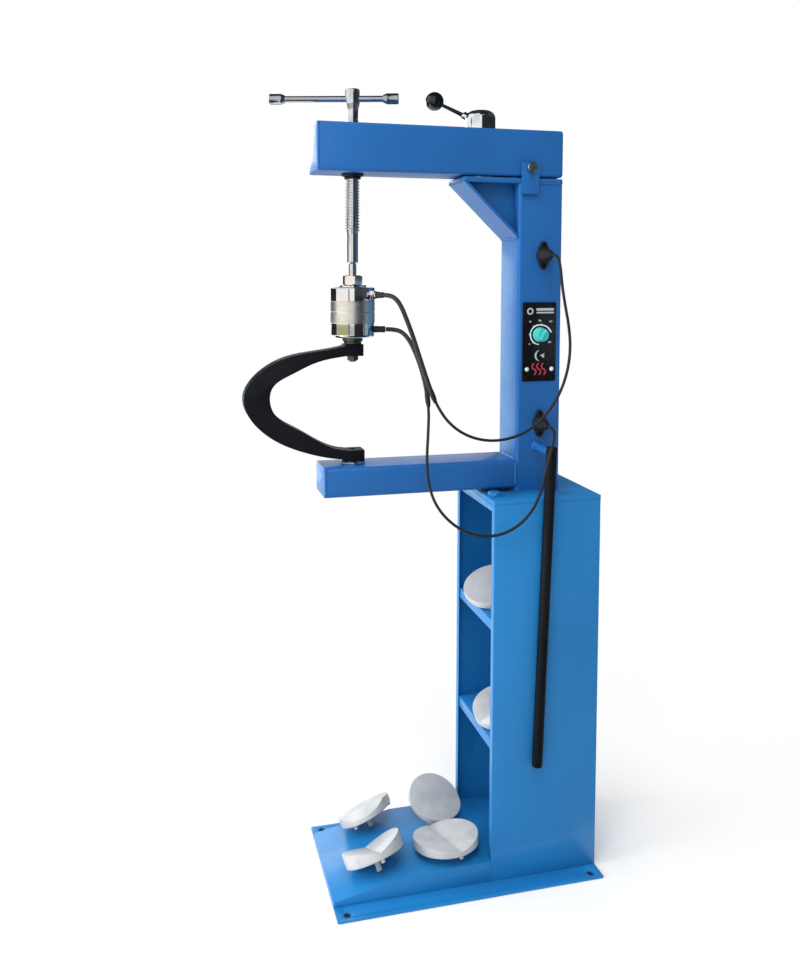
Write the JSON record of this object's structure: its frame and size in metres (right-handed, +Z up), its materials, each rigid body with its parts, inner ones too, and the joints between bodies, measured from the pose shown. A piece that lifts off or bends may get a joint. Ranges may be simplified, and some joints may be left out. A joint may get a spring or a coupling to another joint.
{
  "type": "tire vulcanizing machine",
  "caption": "Floor-standing tyre vulcaniser: a heated head on a hand screw hangs from a swinging arm over a lower arm, with a C-shaped bow, a shelved cabinet and loose contour moulds.",
  "frame": {"origin": "centre of the rectangle of anchor holes, on the underside of the base plate", "axes": "+Z up, -Y towards the front where the press head hangs, +X towards the side with the dial and the plugs"},
  "size_m": [0.26, 0.6025, 1.3649],
  "materials": {
    "blue_paint": "semi-gloss powder coat",
    "bright_steel": "zinc plated or ground",
    "chrome_plate": "polished",
    "turned_aluminium": "satin turned",
    "cast_aluminium": "fine cast, machined faces",
    "black_paint": "satin",
    "bronze": "machined",
    "black_plastic": "matte",
    "ball_plastic": "gloss",
    "panel_face": "printed satin",
    "lamp_lens": "clear lens",
    "knob_teal": "satin gloss",
    "braid_sleeve": "braided",
    "cord_jacket": "matte"
  },
  "bodies": {
    "stand": {"base_plate": "blue_paint", "platform": "blue_paint", "cabinet_shell": "blue_paint", "cabinet_lid": "blue_paint", "shelves": "blue_paint", "foot_flange": "blue_paint", "foot_bolts": "blue_paint", "column": "blue_paint", "lower_arm": "blue_paint", "lower_arm_cap": "blue_paint", "pivot_table": "blue_paint", "gusset_plate": "blue_paint", "gusset_webs": "blue_paint", "stop_ear": "blue_paint", "stop_bolt": "bright_steel", "pivot_stud": "bright_steel", "thrust_washer": "bright_steel", "control_panel": "panel_face", "panel_screws": "bright_steel", "thermostat": "black_plastic", "pilot_lamps": "lamp_lens", "sockets": "black_plastic", "upper_plug": "black_plastic", "lower_plug": "black_plastic", "bar_pin": "blue_paint", "upper_lead": "cord_jacket", "lower_lead": "cord_jacket"},
    "swing_arm": {"upper_arm": "blue_paint", "arm_caps": "blue_paint", "screw_nut": "bronze", "pivot_sleeve": "bright_steel"},
    "clamp_lever": {"lever_hub": "chrome_plate", "lever_rod": "chrome_plate", "lever_ball": "ball_plastic"},
    "head": {"swivel_collar": "bright_steel", "thrust_bearing": "bronze", "head_top_cup": "chrome_plate", "head_upper_ring": "turned_aluminium", "head_lower_ring": "turned_aluminium", "head_bottom_cup": "chrome_plate", "heater_element": "bright_steel", "gland_nut": "chrome_plate", "cord_noses": "black_plastic", "head_stud": "bright_steel", "bow_nut": "bright_steel", "upper_sleeve": "braid_sleeve", "lower_sleeve": "braid_sleeve"},
    "screw": {"lead_screw": "bright_steel"},
    "tommy": {"tommy_bar": "chrome_plate", "tommy_caps": "chrome_plate"},
    "bow": {"bow_arm": "black_paint", "bow_pad": "bright_steel"},
    "knob": {"dial_knob": "knob_teal"},
    "loose_bar": {"lever_bar": "black_paint"},
    "ridge_mould": {"mould_ridge": "cast_aluminium"},
    "valley_mould": {"mould_valley": "cast_aluminium"},
    "bead_mould": {"mould_bead": "cast_aluminium"},
    "wide_mould": {"mould_wide": "cast_aluminium"},
    "saddle_mould": {"mould_saddle": "cast_aluminium"},
    "step_mould": {"mould_step": "cast_aluminium"}
  },
  "joints": [
    {"name": "arm_swing", "type": "hinge", "parent": "stand", "child": "swing_arm", "pos_m": [0, 0.044, 1.2513], "axis": [0, 0, 1], "range_deg": [0, 90]},
    {"name": "clamp_turn", "type": "hinge", "parent": "swing_arm", "child": "clamp_lever", "pos_m": [0, 0.044, 1.3], "axis": [0, 0, 1], "range_deg": [0, 120]},
    {"name": "head_travel", "type": "slide", "parent": "swing_arm", "child": "head", "axis": [0, 0, 1], "range_m": [0, 0.085]},
    {"name": "screw_turn", "type": "hinge", "parent": "head", "child": "screw", "pos_m": [0, -0.182, 1.2], "axis": [0, 0, 1], "range_deg": [0, 6120]},
    {"name": "tommy_slide", "type": "slide", "parent": "screw", "child": "tommy", "axis": [0.2706, 0.9627, 0], "range_m": [-0.038, 0.1]},
    {"name": "bow_swing", "type": "hinge", "parent": "head", "child": "bow", "pos_m": [0, -0.182, 0.916], "axis": [0, 0, 1], "range_deg": [-90, 90]},
    {"name": "dial_turn", "type": "hinge", "parent": "stand", "child": "knob", "pos_m": [0.05, 0.14, 0.94], "axis": [1, 0, 0], "range_deg": [-270, 0]},
    {"name": "bar_swing", "type": "hinge", "parent": "stand", "child": "loose_bar", "pos_m": [0.105, 0.137, 0.7445], "axis": [1, 0, 0], "range_deg": [-20, 60]},
    {"name": "ridge_lift", "type": "slide", "parent": "stand", "child": "ridge_mould", "axis": [0, 0, 1], "range_m": [0, 0.15]},
    {"name": "valley_lift", "type": "slide", "parent": "stand", "child": "valley_mould", "axis": [0, 0, 1], "range_m": [0, 0.15]},
    {"name": "bead_lift", "type": "slide", "parent": "stand", "child": "bead_mould", "axis": [0, 0, 1], "range_m": [0, 0.15]},
    {"name": "wide_lift", "type": "slide", "parent": "stand", "child": "wide_mould", "axis": [0, 0, 1], "range_m": [0, 0.15]},
    {"name": "saddle_lift", "type": "slide", "parent": "stand", "child": "saddle_mould", "axis": [0, -1, 0], "range_m": [0, 0.15]},
    {"name": "step_lift", "type": "slide", "parent": "stand", "child": "step_mould", "axis": [0, -1, 0], "range_m": [0, 0.15]}
  ],
  "couplings": [
    {"joint": "screw_turn", "follows": "head_travel", "rad_per_m": 1256.6}
  ]
}
